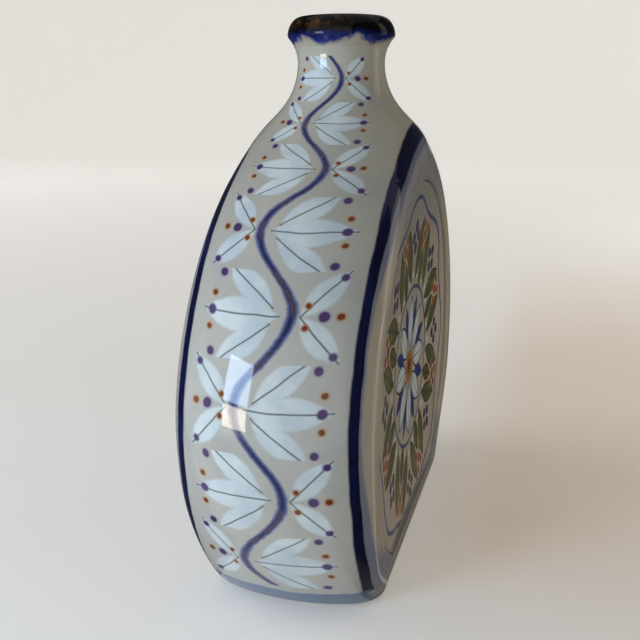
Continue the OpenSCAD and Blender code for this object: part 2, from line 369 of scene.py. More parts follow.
levels = [lerp(WALL_TOP, SHOULDER_H, n / SHOULDER_ROWS) for n in range(SHOULDER_ROWS + 1)]
shoulder_rows = [shoulder_row(outside, outer_x, outer_y, z) for z in levels]
shoulder_rows += [shoulder_row(inside, inner_x, inner_y, z) for z in reversed(levels)]
shoulder = lay_grid(
    "shoulder_skin", LOOP, len(shoulder_rows),
    lambda i, j: shoulder_rows[j % len(shoulder_rows)](i))


# %% [markdown]
# ## Neck and lip
# These are thrown on the wheel, so each is one profile turned round the axis. The neck narrows
# to its waist and flares again. The lip carries the flare on to its widest edge, then rolls over
# to the top and runs down into the bore.

# %% Make the neck
AROUND, NECK_STEPS, ARC_STEPS = 160, 18, 8


def arc(x, z, r, start, end, steps):
    return [(x + r * cos(a), z + r * sin(a))
            for a in (lerp(start, end, n / steps) for n in range(steps + 1))]


def turned(name, profile):
    def place(i, j):
        a = 2 * pi * (i % AROUND) / AROUND
        r, z = profile[j % len(profile)]
        return r * sin(a), -r * cos(a), z
    return lay_grid(name, AROUND, len(profile), place)


flare_x = NECK_R + LIP_FLARE_R
foot_angle = pi - asin((SHOULDER_H - WAIST_H) / NECK_FLARE_R)
top_angle = pi - asin((NECK_TOP - WAIST_H) / LIP_FLARE_R)
neck_profile = arc(neck_centre_r, WAIST_H, NECK_FLARE_R, foot_angle, pi, NECK_STEPS)
neck_profile += arc(flare_x, WAIST_H, LIP_FLARE_R, pi, top_angle, ARC_STEPS)[1:]
neck_profile += [(MOUTH_R, NECK_TOP), (MOUTH_R, SHOULDER_H)]
neck = turned("neck_skin", neck_profile)

# %% Make the lip
# The curve over the widest edge: its first handle goes up and leans in a little, its second lies
# level with the top, so far in from the edge, and the curve ends at the crown's radius
ROLL_UP, ROLL_LEAN, ROLL_IN, CROWN_R = 3.6, 0.2, 2.6, 17.5
ROLL_STEPS = 14
bulge_x = LIP_R - LIP_BULGE_R
bulge_z = WAIST_H + sqrt((LIP_FLARE_R + LIP_BULGE_R) ** 2 - (flare_x - bulge_x) ** 2)
touch = atan2(WAIST_H - bulge_z, flare_x - bulge_x)
roll_r = (LIP_R, LIP_R - ROLL_LEAN, LIP_R - ROLL_IN, CROWN_R)
roll_z = (bulge_z, bulge_z + ROLL_UP, TOTAL_H, TOTAL_H)
lip_profile = arc(flare_x, WAIST_H, LIP_FLARE_R, top_angle, pi + touch, ARC_STEPS)
lip_profile += arc(bulge_x, bulge_z, LIP_BULGE_R, touch, 0, ARC_STEPS)[1:]
lip_profile += [(bezier(roll_r, n / ROLL_STEPS), bezier(roll_z, n / ROLL_STEPS))
                for n in range(1, ROLL_STEPS + 1)]
lip_profile += arc(MOUTH_R + LIP_ROUND, TOTAL_H - LIP_ROUND, LIP_ROUND, pi / 2, pi, ARC_STEPS)
lip_profile += [(MOUTH_R, NECK_TOP)]
lip = turned("lip_skin", lip_profile)


# %% [markdown]
# ## Panels
# Each panel is a round slab, dished a little, that sits just behind the rim. It is turned round
# the axis of the face, and a bisect cuts it straight where it stands on the base slab. The glaze
# fills and softens its edge, so the front edge is rounded.

# %% Make the two panels
PANEL_RINGS, BACK_RINGS, PANEL_SOFT = 36, 8, 0.5
panel_edge_r = FACE_R - SEAM
dish_r = (panel_edge_r ** 2 + PANEL_DISH ** 2) / (2 * PANEL_DISH)
dish_y = PANEL_FRONT + dish_r - PANEL_DISH


def panel_profile():
    rows = []
    for n in range(PANEL_RINGS + 1):
        r = panel_edge_r * sin(pi / 2 * n / PANEL_RINGS)
        past = max(0.0, r - (panel_edge_r - PANEL_SOFT))
        drop = PANEL_SOFT - sqrt(max(0.0, PANEL_SOFT ** 2 - past ** 2))
        rows.append((r, dish_y - sqrt(dish_r ** 2 - r * r) - drop))
    for n in range(BACK_RINGS + 1):
        r = panel_edge_r * (1 - n / BACK_RINGS)
        rows.append((r, dish_y - sqrt((dish_r + PANEL_T) ** 2 - r * r)))
    return rows


def make_panel(name, side):
    rows = panel_profile()

    def place(i, j):
        a = 2 * pi * (i % AROUND) / AROUND
        r, y = rows[j]
        return r * sin(a), side * y, CENTRE_H + r * cos(a)
    panel = lay_grid(name, AROUND, len(rows) - 1, place)
    bpy.ops.object.mode_set(mode="EDIT")
    bpy.ops.mesh.select_all(action="SELECT")
    bpy.ops.mesh.bisect(plane_co=(0, 0, BASE_H * MM), plane_no=(0, 0, 1),
                        use_fill=True, clear_inner=True)
    bpy.ops.object.mode_set(mode="OBJECT")
    return panel


front_panel = make_panel("front_panel_skin", -1)
back_panel = make_panel("back_panel_skin", 1)


# %% [markdown]
# ## Places for the painting
# The painted vine climbs the middle of each narrow band and grows smaller on the neck. So the
# walls, the shoulder and the neck carry an attribute with two places in millimetres: the way
# along the band from the foot of the vine, and the way across it. Both are stretched where the
# band narrows, so that the same pattern comes out smaller there.

# %% Write the attribute
# Heights of the vine's ends, half its width on the band and on the neck, and where it narrows
VINE_FOOT, VINE_TIP, VINE_HALF, VINE_HALF_NECK = 17.0, 223.0, 29.5, 14.0
NARROW_FROM, NARROW_OVER = 158, 76


def vine_scale(z):
    narrowed = smooth((z - NARROW_FROM) / NARROW_OVER)
    return VINE_HALF / lerp(VINE_HALF, VINE_HALF_NECK, narrowed)


def outline(z):
    if z <= WALL_TOP:
        return outside(0, z)[0]
    if z <= SHOULDER_H:
        return on_curve(heights_x, outer_x, z)
    r, x = (NECK_FLARE_R, neck_centre_r) if z < WAIST_H else (LIP_FLARE_R, flare_x)
    return x - sqrt(r ** 2 - (z - WAIST_H) ** 2)


way = [0.0]
for z in range(int(NECK_TOP)):
    step = hypot(1, outline(z + 1) - outline(z))
    way.append(way[-1] + step * vine_scale(z + 0.5))


def along_band(z):
    z = max(0.0, min(NECK_TOP - 0.001, z))
    return lerp(way[int(z)], way[int(z) + 1], z - int(z)) - way[int(VINE_FOOT)]


for piece in (left_wall, right_wall, shoulder, neck):
    band = piece.data.attributes.new("band", "FLOAT_VECTOR", "POINT")
    for v, place in zip(piece.data.vertices, band.data):
        z = v.co.z / MM
        place.vector = (along_band(z), v.co.y / MM * vine_scale(z), 0)
vine_length = along_band(VINE_TIP)
print(f"the vine is {vine_length:.0f} mm long at the scale of the band")


# %% [markdown]
# ## Colours and nodes
# Colours are written as sRGB hex values, as a colour picker shows them, and one function turns
# them to the linear values that Blender computes with. One more function adds a node, sets it
# up and links it. A fired glaze is glass: its skin is clear and smooth, with slow waves that make
# a mirrored window tremble.

# %% Helpers for materials
GLAZE_IOR = 1.46
# Noise scales are in clouds per metre: waves 22 mm apart, and a roughness that drifts over 14 mm
WAVES, WAVE_STRENGTH, WAVE_DEPTH = 45.0, 0.1, 0.0012
DRIFT, SMOOTHEST, ROUGHEST = 70.0, 0.035, 0.075


def linear(code):
    parts = (int(code[n:n + 2], 16) / 255 for n in (1, 3, 5))
    return (*(c / 12.92 if c <= 0.04045 else ((c + 0.055) / 1.055) ** 2.4 for c in parts), 1)


def add(tree, kind, *inputs, **settings):
    """Adds a node. Inputs are links, numbers or None, in the order of its sockets."""
    node = tree.nodes.new("ShaderNode" + kind)
    for key, value in settings.items():
        setattr(node, key, value)
    for socket, value in zip(node.inputs, inputs):
        if isinstance(value, bpy.types.NodeSocket):
            tree.links.new(value, socket)
        elif value is not None:
            socket.default_value = value
    return next(s for s in node.outputs if s.enabled)


def new_finish(name):
    """A new material with its tree, its shader, and the place on the piece in metres."""
    material = bpy.data.materials.new(name)
    material.use_nodes = True
    tree = material.node_tree
    coords = add(tree, "TexCoord").node.outputs["Object"]
    return material, tree, tree.nodes["Principled BSDF"], coords


def new_glaze(name):
    """The same for a glazed stoneware, with the place in millimetres too."""
    material, tree, shader, coords = new_finish(name)
    shader.inputs["IOR"].default_value = GLAZE_IOR
    mm = add(tree, "VectorMath", coords, None, None, 1 / MM, operation="SCALE")
    return material, tree, shader, coords, mm


def clear_coat(tree, shader, coords, paint):
    """The paint under its clear skin of glass."""
    waves = add(tree, "TexNoise", coords, None, WAVES, 1.5, 0.5)
    bump = add(tree, "Bump", WAVE_STRENGTH, WAVE_DEPTH, None, waves)
    drift = add(tree, "TexNoise", coords, None, DRIFT, 3.0, 0.6)
    rough = add(tree, "MapRange", drift, 0.3, 0.7, SMOOTHEST, ROUGHEST)
    tree.links.new(paint, shader.inputs["Base Color"])
    tree.links.new(bump, shader.inputs["Normal"])
    tree.links.new(rough, shader.inputs["Roughness"])


print("material helpers ready")


# %% [markdown]
# ## Painted shapes
# Brush painters build a border from a few strokes: a leaf, a dot and a line. A leaf is an
# almond: with its own axes scaled to run from -1 to 1, its edge is where the width left by
# 1 - e*e is used up. The functions give how deep a place lies inside the shape, in millimetres.
# A stroke then lays a colour over what is below, inside one or more edges. An edge softens
# between two values, or is a mask made before. A plain number makes the coat thinner.

# %% Helpers for painted shapes
def leaf(tree, place, at, turn, length, width):
    """Depth inside an almond leaf, and the distance from its middle vein."""
    own = add(tree, "Mapping", place, (*at, 0), (0, 0, radians(turn)),
              (length / 2, width / 2, 1), vector_type="TEXTURE")
    axes = add(tree, "SeparateXYZ", own).node.outputs
    e_squared = add(tree, "Math", axes[0], axes[0], operation="MULTIPLY")
    room = add(tree, "Math", 1.0, e_squared, operation="SUBTRACT")
    off = add(tree, "Math", axes[1], operation="ABSOLUTE")
    spare = add(tree, "Math", room, off, operation="SUBTRACT")
    depth = add(tree, "Math", spare, width / 2, operation="MULTIPLY")
    off_mm = add(tree, "Math", off, width / 2, operation="MULTIPLY")
    outside_mm = add(tree, "Math", depth, -1.0, operation="MULTIPLY")
    return depth, add(tree, "Math", off_mm, outside_mm, operation="MAXIMUM")


def leaves(tree, rows):
    """The same for the nearest of some leaves, given as (place, at, turn, length, width)."""
    depth = vein = None
    for row in rows:
        d, v = leaf(tree, *row)
        depth = d if depth is None else add(tree, "Math", depth, d, operation="MAXIMUM")
        vein = v if vein is None else add(tree, "Math", vein, v, operation="MINIMUM")
    return depth, vein


def dots(tree, place, rows):
    """Depth inside the nearest of some round dots, given as (x, y, radius)."""
    depth = None
    for x, y, r in rows:
        far = add(tree, "VectorMath", place, (x, y, 0), operation="DISTANCE").node.outputs["Value"]
        d = add(tree, "Math", r, far, operation="SUBTRACT")
        depth = d if depth is None else add(tree, "Math", depth, d, operation="MAXIMUM")
    return depth


def drawn_line(tree, value, at, half_width):
    """Depth inside a line that runs where the value is at."""
    off = add(tree, "Math", value, at, operation="SUBTRACT")
    off = add(tree, "Math", off, operation="ABSOLUTE")
    return add(tree, "Math", half_width, off, operation="SUBTRACT")


print("shape helpers ready")


# %% Helpers for strokes
def mask(tree, *edges):
    """The place inside all the edges: masks, numbers, or soft edges (value, start, end)."""
    product = None
    for edge in edges:
        if isinstance(edge, tuple):
            edge = add(tree, "MapRange", *edge, 0.0, 1.0, interpolation_type="SMOOTHSTEP")
        product = edge if product is None else add(
            tree, "Math", product, edge, operation="MULTIPLY")
    return product


def stroke(tree, below, colour, *edges):
    """A colour over what is below, inside all the edges."""
    colours = (linear(c) if isinstance(c, str) else c for c in (below, colour))
    return add(tree, "MixRGB", mask(tree, *edges), *colours)


print("stroke helpers ready")

# %% [markdown]
# ## Body glaze: grey stoneware with a painted vine
# The ground is a warm light grey that turns olive towards the shoulder. A vine in cobalt blue
# winds up each band, with pale blue-white leaves in its bends and plum and rust berries. It is
# a border as old as pottery. Each bend is the mirror image of the next, so the pattern folds
# the place along the band back and forth and draws one half of one bend. A dark blue line
# follows each rim. Past it the rim is slate grey, and on its crest a warm grey like the panel.

# %% Make the body glaze: the vine
# How far the stem swings, half its width, and how far the brush strays over about 26 mm
BENDS, SWING, STEM_HALF, STRAY, HAND = 8, 9.5, 1.3, 1.5, 38.0
VINE_LEAVES = (
    ((0, -11.0), 90, 32, 13.0), ((11.2, -8.6), -52, 27, 10.5), ((8.6, 20.0), 42, 23, 9.5))
VINE_PLUMS = ((0, -23.2, 1.9), (15.2, -21.2, 1.7), (0, 20.5, 2.0), (14.6, 25.6, 1.5))
VINE_RUSTS = ((6.4, -23.4, 1.2), (0, 25.8, 1.3), (4.0, 14.6, 1.1))
bend = vine_length / BENDS
body_glaze, tree, shader, coords, mm = new_glaze("grey_stoneware_glaze")
band = add(tree, "Attribute", attribute_name="band").node.outputs["Vector"]
hand = add(tree, "TexNoise", coords, None, HAND, 2.0, 0.5).node.outputs["Color"]
brushed = add(tree, "VectorMath", hand, (2 * STRAY, 2 * STRAY, 0), band, operation="MULTIPLY_ADD")
brushed = add(tree, "VectorMath", brushed, (STRAY, STRAY, 0), operation="SUBTRACT")
u, v, _ = add(tree, "SeparateXYZ", brushed).node.outputs
wave = add(tree, "Math", u, pi / bend, operation="MULTIPLY")
wave = add(tree, "Math", wave, operation="SINE")
mirrored = add(tree, "Math", wave, operation="SIGN")
mirrored = add(tree, "Math", v, mirrored, operation="MULTIPLY")
folded = add(tree, "Math", u, bend / 2, operation="ADD")
folded = add(tree, "Math", folded, bend / 2, operation="PINGPONG")
cell = add(tree, "CombineXYZ", folded, mirrored, 0.0)

leaf_depth, vein = leaves(tree, [(cell, *row) for row in VINE_LEAVES])
plum = dots(tree, cell, VINE_PLUMS)
rust = dots(tree, cell, VINE_RUSTS)
stem = add(tree, "Math", wave, operation="ABSOLUTE")
stem = add(tree, "Math", stem, -SWING, mirrored, operation="MULTIPLY_ADD")
stem = drawn_line(tree, stem, 0.0, STEM_HALF)
vine_ends = mask(tree, (u, -0.5, 0.8), (u, vine_length + 0.5, vine_length - 0.8))
print("bends of", round(bend, 1), "mm")

# %% Make the body glaze: the ground and the paint
# Clouds in the clay about 31 mm wide, washes of the brush about 13 mm wide, paint that bleeds in
# patches of 2.4 mm, and iron specks about 4 mm apart
MOTTLE, WASH, BLEED, SPECKS = 32.0, 75.0, 420.0, 260.0
LEAF_BLEED, STEM_BLEED = 0.9, 1.1
_, y_mm, z_mm = add(tree, "SeparateXYZ", mm).node.outputs
mottle = add(tree, "TexNoise", coords, None, MOTTLE, 4.0, 0.6)
ground = stroke(tree, "#b4b4ad", "#b0ada1", (z_mm, 110.0, 200.0))
ground = stroke(tree, ground, "#a7a7a0", (mottle, 0.45, 0.8))
specks = add(tree, "TexVoronoi", coords, None, SPECKS, feature="F1").node.outputs["Distance"]
ground = stroke(tree, ground, "#77705f", (specks, 0.1, 0.04), 0.4)

wash = add(tree, "TexNoise", coords, None, WASH, 3.0, 0.55)
pale = stroke(tree, "#bccbd3", "#d2dde0", (wash, 0.3, 0.7))
bled = add(tree, "TexNoise", coords, None, BLEED, 2.0, 0.6)
leaf_depth = add(tree, "Math", bled, LEAF_BLEED, leaf_depth, operation="MULTIPLY_ADD")
stem = add(tree, "Math", bled, STEM_BLEED, stem, operation="MULTIPLY_ADD")
paint = stroke(tree, ground, pale, (leaf_depth, -0.2, 1.5), vine_ends, 0.92)
paint = stroke(tree, paint, "#3f5148", (vein, 0.55, 0.15), vine_ends, 0.8)
paint = stroke(tree, paint, "#2c3f86", (stem, -0.9, 0.7), vine_ends, 0.9)
paint = stroke(tree, paint, "#141d4a", (stem, 0.5, 1.6), vine_ends)
paint = stroke(tree, paint, "#6b4a22", (stem, 1.2, 1.8), (wash, 0.5, 0.56), vine_ends, 0.85)
paint = stroke(tree, paint, "#7d719a", (plum, -0.9, 0.3), vine_ends, 0.45)
paint = stroke(tree, paint, "#4a3566", (plum, -0.3, 0.5), vine_ends)
paint = stroke(tree, paint, "#b98a4c", (rust, -1.2, 0.2), vine_ends, 0.7)
paint = stroke(tree, paint, "#74391b", (rust, -0.3, 0.4), vine_ends)
print("painted the vine")

# %% Make the body glaze: the rims and the foot
# Soft edges across the vase, from its middle plane: both sides of the dark line, and the inner
# sides of the slate and of the warm grey. All of them wobble by up to 1.3 mm over about 17 mm
LINE_IN, LINE_OUT = (33.2, 34.2), (37.5, 36.9)
SLATE_IN, WARM_IN = (36.6, 37.6), (39.1, 40.1)
WOBBLE, WOBBLE_MM = 60.0, 1.3
# How far the line and the warm grey shift inwards at middle height, and the line widens above
LINE_SHIFT, WARM_SHIFT, LINE_SPREAD = 0.9, 2.6, 1.2
# Soft edge of the land round the face, from the face's centre
FACE_LAND = (93.0, 94.0)
# The foot's glaze ends at about this height, with a wavy edge
FOOT_TOP, FOOT_WAVE = (15.8, 14.6), 4.0
across = add(tree, "Math", y_mm, operation="ABSOLUTE")
wobble = add(tree, "TexNoise", coords, None, WOBBLE, 2.0, 0.5)
edge = add(tree, "Math", wobble, WOBBLE_MM, across, operation="MULTIPLY_ADD")
from_face = add(tree, "VectorMath", mm, (0, 0, CENTRE_H), operation="SUBTRACT")
from_face = add(tree, "VectorMath", from_face, (1, 0, 1), operation="MULTIPLY")
from_face = add(tree, "VectorMath", from_face, operation="LENGTH").node.outputs["Value"]
outside_rim = mask(tree, (from_face, *FACE_LAND))
inner_land = add(tree, "Math", 1.0, outside_rim, operation="SUBTRACT")
middle = mask(tree, (z_mm, 40.0, 95.0), (z_mm, 168.0, 115.0))
line_edge = add(tree, "Math", middle, LINE_SHIFT, edge, operation="MULTIPLY_ADD")
warm_edge = add(tree, "Math", middle, WARM_SHIFT, edge, operation="MULTIPLY_ADD")
spread = mask(tree, (z_mm, 140.0, 180.0))
spread = add(tree, "Math", spread, -LINE_SPREAD, line_edge, operation="MULTIPLY_ADD")

slate = stroke(tree, "#7b8094", "#8a8c98", (mottle, 0.3, 0.75))
# Painted shade: the slate is painted darker towards the top of the rims
slate = stroke(tree, slate, "#6b7086", (z_mm, 130.0, 175.0))
past_line = mask(tree, (line_edge, *SLATE_IN))
slate_land = add(tree, "Math", past_line, inner_land, operation="MAXIMUM")
paint = stroke(tree, paint, slate, slate_land)
warm = stroke(tree, "#b8b0a1", "#aaa295", (mottle, 0.35, 0.75))
# Towards the top the warm grey turns cooler, and is painted darker there as painted shade
warm = stroke(tree, warm, "#8b8f97", (z_mm, 135.0, 170.0), 0.85)
crest = mask(tree, (warm_edge, *WARM_IN))
warm_land = add(tree, "Math", crest, inner_land, operation="MAXIMUM")
paint = stroke(tree, paint, warm, warm_land, (z_mm, 18.0, 34.0))
navy = stroke(tree, "#0b0f2e", "#172052", (mottle, 0.4, 0.8))
paint = stroke(tree, paint, navy, (line_edge, *LINE_IN), (spread, *LINE_OUT), outside_rim,
               (z_mm, 10.4, 11.6))
foot = add(tree, "Math", wobble, FOOT_WAVE, z_mm, operation="MULTIPLY_ADD")
paint = stroke(tree, paint, "#5f7390", (foot, *FOOT_TOP), (across, 36.6, 34.0))
clear_coat(tree, shader, coords, paint)
print("body glaze nodes:", len(tree.nodes))

# %% [markdown]
# ## Panel glaze: a wreath and a rosette
# The faces hold a wreath of olive leaves and berries round a blue rosette, drawn with compass
# and brush. Angle and distance from the middle of the face are folded into one sector, as when
# paper is folded to cut a star, and the strokes are drawn in that sector. A second fold, half
# a sector further on, takes the strokes between. At the foot the base glaze runs up over the
# panel, behind a thin dark line.

# %% Make the panel glaze: fold the face
SECTORS, PATTERN_SIZE, FACE_STRAY = 8, 1.17, 1.6
sector = pi / SECTORS
panel_glaze, tree, shader, coords, mm = new_glaze("painted_panel_glaze")
hand = add(tree, "TexNoise", coords, None, HAND, 2.0, 0.5).node.outputs["Color"]
brushed = add(tree, "VectorMath", hand, (2 * FACE_STRAY, 0, 2 * FACE_STRAY), mm,
              operation="MULTIPLY_ADD")
brushed = add(tree, "VectorMath", brushed, (FACE_STRAY, 0, CENTRE_H + FACE_STRAY),
              operation="SUBTRACT")
brushed = add(tree, "VectorMath", brushed, None, None, 1 / PATTERN_SIZE, operation="SCALE")
x_mm, _, up_mm = add(tree, "SeparateXYZ", brushed).node.outputs
x_squared = add(tree, "Math", x_mm, x_mm, operation="MULTIPLY")
r_mm = add(tree, "Math", up_mm, up_mm, x_squared, operation="MULTIPLY_ADD")
r_mm = add(tree, "Math", r_mm, operation="SQRT")
angle = add(tree, "Math", x_mm, up_mm, operation="ARCTAN2")
# Two whole turns more keep the angle above zero
angle = add(tree, "Math", angle, 4 * pi, operation="ADD")


def fold(start):
    turned_by = add(tree, "Math", angle, start, operation="ADD")
    a = add(tree, "Math", turned_by, sector, operation="PINGPONG")
    sine = add(tree, "Math", a, operation="SINE")
    cosine = add(tree, "Math", a, operation="COSINE")
    return add(tree, "CombineXYZ", add(tree, "Math", r_mm, sine, operation="MULTIPLY"),
               add(tree, "Math", r_mm, cosine, operation="MULTIPLY"), 0.0)


first, second = fold(0.0), fold(sector)
print("folded the face into", 2 * SECTORS, "half sectors")

# %% Make the panel glaze: the shapes
# Radius and half width of the two drawn rings, and how far the outer one swings in and out
WREATH_RING, ROSETTE_RING, SCALLOP = (66.5, 0.8), (33.0, 0.7), 2.6
petal_depth, petal_vein = leaf(tree, first, (0, 18.5), 90, 23, 11)
bud_depth, _ = leaf(tree, second, (0, 22), 90, 17, 6)
green_depth, green_vein = leaves(
    tree, [(first, (10.2, 47), 62, 27, 9.5), (second, (0, 41), 90, 18, 7.5)])
plum = dots(tree, first, [(0, 49, 2.7), (4.3, 53.5, 2.5), (0, 57.5, 2.6)])
rust = dots(tree, second, [(0, 55, 2.3), (3.8, 51.4, 2.0), (3.2, 59.0, 1.9)])
white = dots(tree, first, [(0, 38.5, 1.2), (7.4, 36.0, 1.0)])
heart = dots(tree, first, [(0, 0, 7.0)])
heart_middle = dots(tree, first, [(0, 0, 3.2)])
scallop = add(tree, "Math", angle, float(SECTORS), operation="MULTIPLY")
scallop = add(tree, "Math", scallop, operation="COSINE")
scallop = add(tree, "Math", scallop, -SCALLOP, r_mm, operation="MULTIPLY_ADD")
rings = add(tree, "Math", drawn_line(tree, scallop, *WREATH_RING),
            drawn_line(tree, r_mm, *ROSETTE_RING), operation="MAXIMUM")
print("shapes drawn in", len(tree.nodes), "nodes")

# %% Make the panel glaze: the paint
# Clouds in the clay about 36 mm wide
FACE_MOTTLE = 28.0
# Height of the dark line at the foot and of the glaze below it, with a wavy edge
DIP_LINE, DIP_TOP, DIP_WAVE = (13.3, 12.9), (12.8, 12.4), 1.2
mottle = add(tree, "TexNoise", coords, None, FACE_MOTTLE, 4.0, 0.6)
ground = stroke(tree, "#bcb3a2", "#afa799", (mottle, 0.4, 0.75))
ground = stroke(tree, ground, "#aca598", (r_mm, 60.0, 76.0))
# Painted shade: the ground is painted darker towards the top of the face
ground = stroke(tree, ground, "#979994", (up_mm, 15.0, 75.0))
petals = stroke(tree, "#b9c8d2", "#dbe5e6", (petal_depth, 0.5, 4.0))
greens = stroke(tree, "#4f5832", "#6d7344", (mottle, 0.35, 0.7))
paint = stroke(tree, ground, "#26357a", (bud_depth, -0.2, 0.5))
paint = stroke(tree, paint, "#1c2659", (petal_depth, -0.5, 0.1))
paint = stroke(tree, paint, petals, (petal_depth, 0.5, 1.0))
paint = stroke(tree, paint, "#3b4c8d", (petal_vein, 0.5, 0.2), 0.8)
paint = stroke(tree, paint, "#a8742f", (heart, -0.4, 0.5))
paint = stroke(tree, paint, "#6d3318", (heart_middle, -0.4, 0.5))
paint = stroke(tree, paint, "#2c3c80", (rings, -0.6, 0.4), 0.9)
paint = stroke(tree, paint, "#23281a", (green_depth, -0.4, 0.3))
paint = stroke(tree, paint, greens, (green_depth, 0.45, 1.0))
paint = stroke(tree, paint, "#23281a", (green_vein, 0.45, 0.2), 0.8)
paint = stroke(tree, paint, "#40315c", (plum, -0.4, 0.4))
paint = stroke(tree, paint, "#b98a4c", (rust, -1.2, 0.1), 0.7)
paint = stroke(tree, paint, "#8c4526", (rust, -0.3, 0.4))
paint = stroke(tree, paint, "#e4e7e2", (white, -0.3, 0.3))
height = add(tree, "SeparateXYZ", mm).node.outputs[2]
dip = add(tree, "Math", mottle, DIP_WAVE, height, operation="MULTIPLY_ADD")
paint = stroke(tree, paint, "#4b4a47", (dip, *DIP_LINE))
paint = stroke(tree, paint, "#8f8f90", (dip, *DIP_TOP))
clear_coat(tree, shader, coords, paint)
print("panel glaze nodes:", len(tree.nodes))

# %% [markdown]
# ## Base glaze and bare clay
# The slab is dipped in a slate-blue glaze, which is a plain grey below the faces. The potter
# wipes the ring that it stands on, because glaze would fuse it to the kiln shelf, so a thin line
# of brown fired clay shows at the table. The clay is dull and gritty, and the glaze is glossy.

# %% Make the base glaze
# Clouds about 25 mm wide, and grit of about 1 mm with its relief
DIP_MOTTLE, GRIT, GRIT_STRENGTH, GRIT_DEPTH = 40.0, 900.0, 0.15, 0.0004
# Height of the wiped edge and its waviness, and where across the slab the grey begins
WIPED, WIPE_WAVE, GREY_FROM = (1.9, 1.4), 1.6, (32.0, 37.0)
GLAZE_ROUGH, CLAY_ROUGH = 0.12, 0.75
base_glaze, tree, shader, coords, mm = new_glaze("slate_blue_glaze")
_, y_mm, z_mm = add(tree, "SeparateXYZ", mm).node.outputs
across = add(tree, "Math", y_mm, operation="ABSOLUTE")
mottle = add(tree, "TexNoise", coords, None, DIP_MOTTLE, 4.0, 0.6)
slate = stroke(tree, "#5b7090", "#677b96", (mottle, 0.35, 0.7))
slate = stroke(tree, slate, "#908f8e", (across, *GREY_FROM))
grit = add(tree, "TexNoise", coords, None, GRIT, 2.0, 0.7)
clay = stroke(tree, "#8a7461", "#6d5847", (grit, 0.35, 0.65))
wipe = add(tree, "Math", mottle, WIPE_WAVE, z_mm, operation="MULTIPLY_ADD")
bare = mask(tree, (wipe, *WIPED))
rough = add(tree, "MapRange", bare, 0.0, 1.0, GLAZE_ROUGH, CLAY_ROUGH)
tree.links.new(stroke(tree, slate, clay, bare), shader.inputs["Base Color"])
tree.links.new(rough, shader.inputs["Roughness"])
bump = add(tree, "Bump", GRIT_STRENGTH, GRIT_DEPTH, None, grit)
tree.links.new(bump, shader.inputs["Normal"])
print("base glaze nodes:", len(tree.nodes))

# %% [markdown]
# ## Lip glaze
# The lip is brushed with cobalt that ends in an uneven, scalloped edge. A second coat with a
# lot of iron covers its top. It fires nearly black, and breaks to rust brown where it is thin.
# It is set to mirror less than the other glazes, so that it stays dark beside the pale paper.

# %% Make the lip glaze
# Runs in the glaze about 8 mm apart, and marks of the brush about 3 mm apart and three times
# as long as wide
RUNS, BRUSH, BRUSH_STRETCH = 130.0, 330.0, (1, 1, 0.3)
SWAGS, SWAG_DEPTH = 3.0, 2.6
# How far, in millimetres, the runs and the brush push the edges of the cobalt and of the iron
RUN_MM, COBALT_BRUSH_MM, IRON_BRUSH_MM = 5.0, 3.0, 4.0
# Soft edges of the two coats, by height with the runs and the brush added
COBALT_EDGE, IRON_EDGE = (233.6, 236.4), (234.2, 238.8)
lip_glaze, tree, shader, coords, mm = new_glaze("cobalt_and_iron_glaze")
shader.inputs["Specular IOR Level"].default_value = 0.25
x_mm, y_mm, z_mm = add(tree, "SeparateXYZ", mm).node.outputs
angle = add(tree, "Math", x_mm, y_mm, operation="ARCTAN2")
swag = add(tree, "Math", angle, SWAGS, operation="MULTIPLY")
swag = add(tree, "Math", swag, operation="SINE")
swag = add(tree, "Math", swag, operation="ABSOLUTE")
runs = add(tree, "TexNoise", coords, None, RUNS, 3.0, 0.6)
stretched = add(tree, "Mapping", coords, None, None, BRUSH_STRETCH)
brush = add(tree, "TexNoise", stretched, None, BRUSH, 3.0, 0.6)
lower = add(tree, "Math", swag, SWAG_DEPTH, z_mm, operation="MULTIPLY_ADD")
lower = add(tree, "Math", runs, RUN_MM, lower, operation="MULTIPLY_ADD")
lower = add(tree, "Math", brush, COBALT_BRUSH_MM, lower, operation="MULTIPLY_ADD")
upper = add(tree, "Math", runs, RUN_MM, z_mm, operation="MULTIPLY_ADD")
upper = add(tree, "Math", brush, IRON_BRUSH_MM, upper, operation="MULTIPLY_ADD")
cobalt = stroke(tree, "#141f63", "#20338c", (brush, 0.4, 0.75))
iron = stroke(tree, "#060607", "#6b4218", (runs, 0.46, 0.62), (z_mm, 233.0, 238.5),
              (y_mm, -24.0, 12.0), (brush, 0.38, 0.6))
iron = stroke(tree, iron, "#1e2028", (brush, 0.52, 0.75), 0.5)
paint = stroke(tree, "#a9a496", cobalt, (lower, *COBALT_EDGE))
paint = stroke(tree, paint, iron, (upper, *IRON_EDGE))
clear_coat(tree, shader, coords, paint)
print("lip glaze nodes:", len(tree.nodes))

# %% [markdown]
# ## Dress the pieces
# Each piece takes its glaze, rides on the vase's one body, and stands for its solid, which is
# hidden. Each row also names a material slot of the record, which nothing here uses.

# %% Give each piece its glaze, body and solid
dressing = (
    (base, "base_slab", base_glaze, "base_glaze"),
    (left_wall, "left_side_wall", body_glaze, "body_glaze"),
    (right_wall, "right_side_wall", body_glaze, "body_glaze"),
    (front_panel, "front_panel", panel_glaze, "panel_glaze"),
    (back_panel, "back_panel", panel_glaze, "panel_glaze"),
    (shoulder, "shoulder", body_glaze, "body_glaze"),
    (neck, "neck", body_glaze, "body_glaze"),
    (lip, "lip_ring", lip_glaze, "lip_glaze"),
)
for piece, node_name, glaze, slot_name in dressing:
    piece.data.materials.clear()
    piece.data.materials.append(glaze)
    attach(piece, "root")
    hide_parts(node_name)
print("dressed", len(dressing), "pieces")
